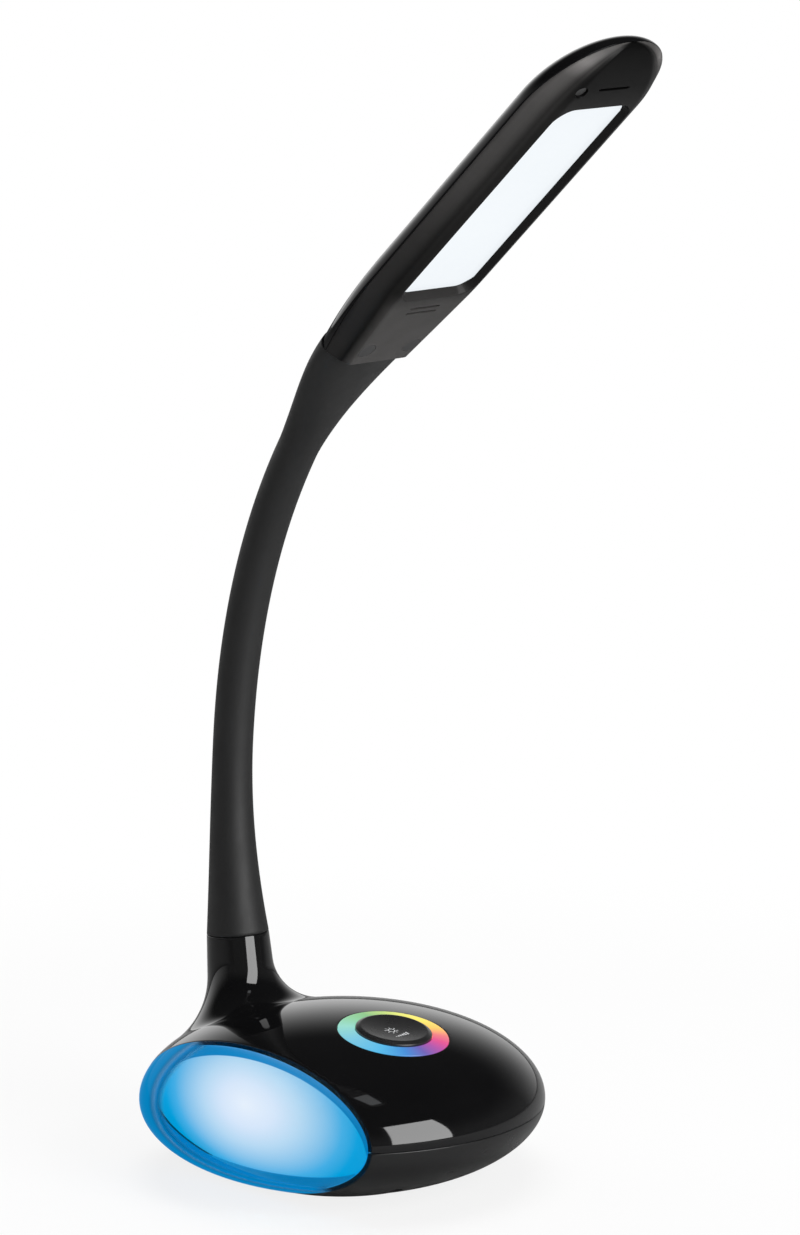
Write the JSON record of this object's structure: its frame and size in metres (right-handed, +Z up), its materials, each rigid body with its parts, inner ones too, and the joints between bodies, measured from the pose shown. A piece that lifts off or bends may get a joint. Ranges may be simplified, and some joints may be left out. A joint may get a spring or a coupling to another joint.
{
  "type": "gooseneck desk lamp",
  "caption": "Desk lamp with a domed base, a lit side window, a colour ring round a dimmer button, a sleeved gooseneck and a flat LED head.",
  "frame": {"origin": "centre of the rubber pad's underside, where the lamp rests on the table", "axes": "+Z up, +X forward, the way the head points, +Y to the lamp's left; the lit window faces -Y"},
  "size_m": [0.2642, 0.18, 0.5145],
  "materials": {
    "gloss_black_shell": "high gloss black",
    "satin_black_shell": "satin black",
    "head_gloss_shell": "high gloss black",
    "head_satin_cover": "satin black",
    "window_lens": "translucent, lit blue from inside",
    "window_diffuser": "milky diffuser, lit blue",
    "tray_white": "moulded white",
    "circuit_board": "green solder mask",
    "led_white": "LED packages",
    "colour_ring": "light ring in all hues",
    "button_black": "smooth black",
    "switch_body": "moulded black",
    "plunger": "moulded",
    "steel_screw": "zinc plated",
    "rubber_foot": "ribbed rubber",
    "ballast_iron": "painted casting",
    "parts_black": "moulded black",
    "ferrule_metal": "nickel plated",
    "hose_steel": "wound steel hose",
    "neck_sleeve": "matte silicone",
    "lead_jacket": "twin lead",
    "panel_lit": "white diffuser, lit",
    "guide_clear": "clear acrylic",
    "sheet_white": "white film",
    "plate_aluminium": "sheet",
    "clamp_zinc": "cast",
    "plug_rubber": "soft black"
  },
  "bodies": {
    "base": {"base_bottom_shell": "satin_black_shell", "base_top_shell": "gloss_black_shell", "window_lens": "window_lens", "window_diffuser": "window_diffuser", "window_tray": "tray_white", "rgb_board": "circuit_board", "rgb_leds": "led_white", "colour_ring": "colour_ring", "tact_switch": "switch_body", "control_board": "circuit_board", "ring_leds": "led_white", "control_board_screws": "steel_screw", "rubber_pad": "rubber_foot", "ballast_plate": "ballast_iron", "ballast_screws": "steel_screw", "driver_board": "circuit_board", "driver_components": "parts_black", "driver_board_screws": "steel_screw", "base_screws": "steel_screw", "inlet_jack": "parts_black", "neck_ferrule": "ferrule_metal", "neck_washer": "steel_screw", "neck_nut": "steel_screw", "neck_sleeve": "neck_sleeve", "neck_lead": "lead_jacket", "hose_root": "hose_steel"},
    "button": {"dimmer_button": "button_black", "switch_plunger": "plunger"},
    "neck_1": {"hose_1": "hose_steel"},
    "neck_2": {"hose_2": "hose_steel"},
    "neck_3": {"hose_3": "hose_steel"},
    "neck_4": {"hose_4": "hose_steel"},
    "neck_5": {"hose_5": "hose_steel"},
    "neck_6": {"hose_6": "hose_steel"},
    "head": {"hose_tip": "hose_steel", "head_top_housing": "head_gloss_shell", "head_bottom_shell": "head_satin_cover", "panel_diffuser": "panel_lit", "light_guide": "guide_clear", "led_strip": "circuit_board", "led_chips": "led_white", "reflector_sheet": "sheet_white", "backing_plate": "plate_aluminium", "head_clamp": "clamp_zinc", "clamp_screws": "steel_screw", "head_screws": "steel_screw", "screw_plugs": "plug_rubber"}
  },
  "joints": [
    {"name": "neck_pitch_1", "type": "hinge", "parent": "base", "child": "neck_1", "pos_m": [-0.071, 0, 0.1341], "axis": [0, 1, 0], "range_deg": [-18, 18], "deforming": ["neck_sleeve", "neck_lead"]},
    {"name": "neck_sway_2", "type": "hinge", "parent": "neck_1", "child": "neck_2", "pos_m": [-0.07122, 0, 0.1717], "axis": [0.9993, 0, -0.0376], "range_deg": [-15, 15], "deforming": ["neck_sleeve", "neck_lead"]},
    {"name": "neck_pitch_3", "type": "hinge", "parent": "neck_2", "child": "neck_3", "pos_m": [-0.06783, 0, 0.20914], "axis": [0, 1, 0], "range_deg": [-18, 18], "deforming": ["neck_sleeve", "neck_lead"]},
    {"name": "neck_sway_4", "type": "hinge", "parent": "neck_3", "child": "neck_4", "pos_m": [-0.06029, 0, 0.24596], "axis": [0.966, 0, -0.2585], "range_deg": [-15, 15], "deforming": ["neck_sleeve", "neck_lead"]},
    {"name": "neck_pitch_5", "type": "hinge", "parent": "neck_4", "child": "neck_5", "pos_m": [-0.04823, 0, 0.28157], "axis": [0, 1, 0], "range_deg": [-18, 18], "deforming": ["neck_sleeve", "neck_lead"]},
    {"name": "neck_sway_6", "type": "hinge", "parent": "neck_5", "child": "neck_6", "pos_m": [-0.0315, 0, 0.31521], "axis": [0.862, 0, -0.5069], "range_deg": [-15, 15], "deforming": ["neck_sleeve", "neck_lead"]},
    {"name": "neck_pitch_7", "type": "hinge", "parent": "neck_6", "child": "head", "pos_m": [-0.01009, 0, 0.3461], "axis": [0, 1, 0], "range_deg": [-18, 18], "deforming": ["neck_sleeve", "neck_lead"]},
    {"name": "button_press", "type": "slide", "parent": "base", "child": "button", "axis": [-0.1696, 0, -0.9855], "range_m": [0, 0.0008], "stiffness_N_per_m": 1500, "springref_m": -0.0006}
  ],
  "couplings": [
    {"joint": "neck_pitch_3", "follows": "neck_pitch_1", "ratio": 1},
    {"joint": "neck_pitch_7", "follows": "neck_pitch_5", "ratio": 1},
    {"joint": "neck_sway_4", "follows": "neck_sway_2", "ratio": 1},
    {"joint": "neck_sway_6", "follows": "neck_sway_2", "ratio": 1}
  ]
}
